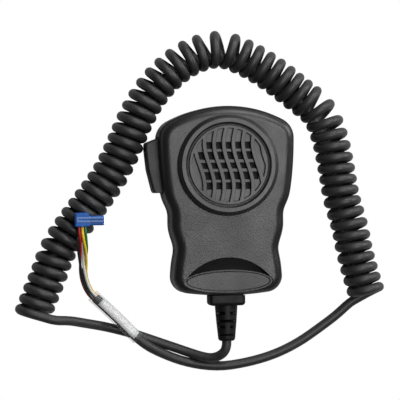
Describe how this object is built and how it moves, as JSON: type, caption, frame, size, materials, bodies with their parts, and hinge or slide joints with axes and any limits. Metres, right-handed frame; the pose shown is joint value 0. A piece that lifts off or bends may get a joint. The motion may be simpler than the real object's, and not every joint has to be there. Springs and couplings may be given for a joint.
{
  "type": "handheld paging microphone",
  "caption": "Fist microphone with a round woven-look grille, side press-to-talk button, strain relief and a curly cord ending in a label, stripped wires and a push-on connector.",
  "frame": {"origin": "on the flat back, at the mouth of the hang-up insert, behind the grille's centre", "axes": "+X to the right of the face as it is seen, +Y to the top of the microphone, +Z out of the face"},
  "size_m": [0.1858, 0.1705, 0.031],
  "materials": {
    "case_abs": "fine grain",
    "cover_abs": "fine grain",
    "grille_abs": "fine grain",
    "badge_abs": "satin, blank",
    "button_abs": "fine grain",
    "relief_rubber": "satin",
    "cord_jacket": "semi-gloss",
    "label_film": "matt, blank",
    "clear_film": "clear",
    "wire_red": "satin",
    "wire_yellow": "satin",
    "wire_green": "satin",
    "wire_black": "satin",
    "wire_white": "satin",
    "connector_blue": "glossy",
    "contact_tin": "tinned",
    "screw_steel": "zinc plated",
    "insert_brass": "turned",
    "spring_steel": "bright wire",
    "cloth_black": "fine weave",
    "boot_rubber": "matt",
    "capsule_plastic": "matt",
    "film_clear": "thin film",
    "copper_wire": "enamelled copper",
    "yoke_steel": "zinc plated",
    "magnet_grey": "sintered",
    "board_green": "solder mask",
    "header_white": "moulded",
    "chip_black": "moulded",
    "can_aluminium": "drawn can",
    "switch_plastic": "moulded",
    "plunger_plastic": "moulded",
    "tag_metal": "tinned"
  },
  "bodies": {
    "microphone": {"front_shell": "case_abs", "back_cover": "cover_abs", "grille_disc": "grille_abs", "dust_cloth": "cloth_black", "badge_plate": "badge_abs", "capsule_boot": "boot_rubber", "capsule_basket": "capsule_plastic", "capsule_cap": "yoke_steel", "diaphragm": "film_clear", "voice_coil": "copper_wire", "capsule_yoke": "yoke_steel", "capsule_magnet": "magnet_grey", "capsule_pole_plate": "yoke_steel", "capsule_tags": "tag_metal", "capsule_bracket": "capsule_plastic", "bracket_screws": "screw_steel", "case_screws": "screw_steel", "hang_insert": "insert_brass", "ptt_spring_upper": "spring_steel", "ptt_spring_lower": "spring_steel", "switch_body": "switch_plastic", "switch_pins": "tag_metal", "circuit_board": "board_green", "board_screws": "screw_steel", "wire_header": "header_white", "capsule_header": "header_white", "amplifier_chip": "chip_black", "capacitor_left": "can_aluminium", "capacitor_right": "can_aluminium", "resistors": "chip_black", "strain_relief": "relief_rubber", "cord_inner_end": "cord_jacket", "cord_clamp": "capsule_plastic", "clamp_screws": "screw_steel", "inner_wire_red": "wire_red", "inner_wire_yellow": "wire_yellow", "inner_wire_green": "wire_green", "inner_wire_black": "wire_black", "inner_wire_white": "wire_white", "capsule_wire_left": "wire_black", "capsule_wire_right": "wire_red", "curly_cord": "cord_jacket", "cord_mic_lead": "cord_jacket", "cord_tail_lead": "cord_jacket", "label_band": "label_film", "clear_sleeve": "clear_film", "tail_wire_red": "wire_red", "tail_wire_yellow": "wire_yellow", "tail_wire_green": "wire_green", "tail_wire_black": "wire_black", "tail_wire_white": "wire_white", "connector_housing": "connector_blue", "connector_contact": "contact_tin"},
    "ptt": {"ptt_button": "button_abs"},
    "plunger": {"switch_plunger": "plunger_plastic"}
  },
  "joints": [
    {"name": "ptt_press", "type": "slide", "parent": "microphone", "child": "ptt", "axis": [1, 0, 0], "range_m": [0, 0.0022], "stiffness_N_per_m": 400, "springref_m": -0.004, "deforming": ["ptt_spring_upper", "ptt_spring_lower"]},
    {"name": "plunger_press", "type": "slide", "parent": "microphone", "child": "plunger", "axis": [1, 0, 0], "range_m": [0, 0.0022]}
  ],
  "couplings": [
    {"joint": "plunger_press", "follows": "ptt_press", "ratio": 1}
  ]
}
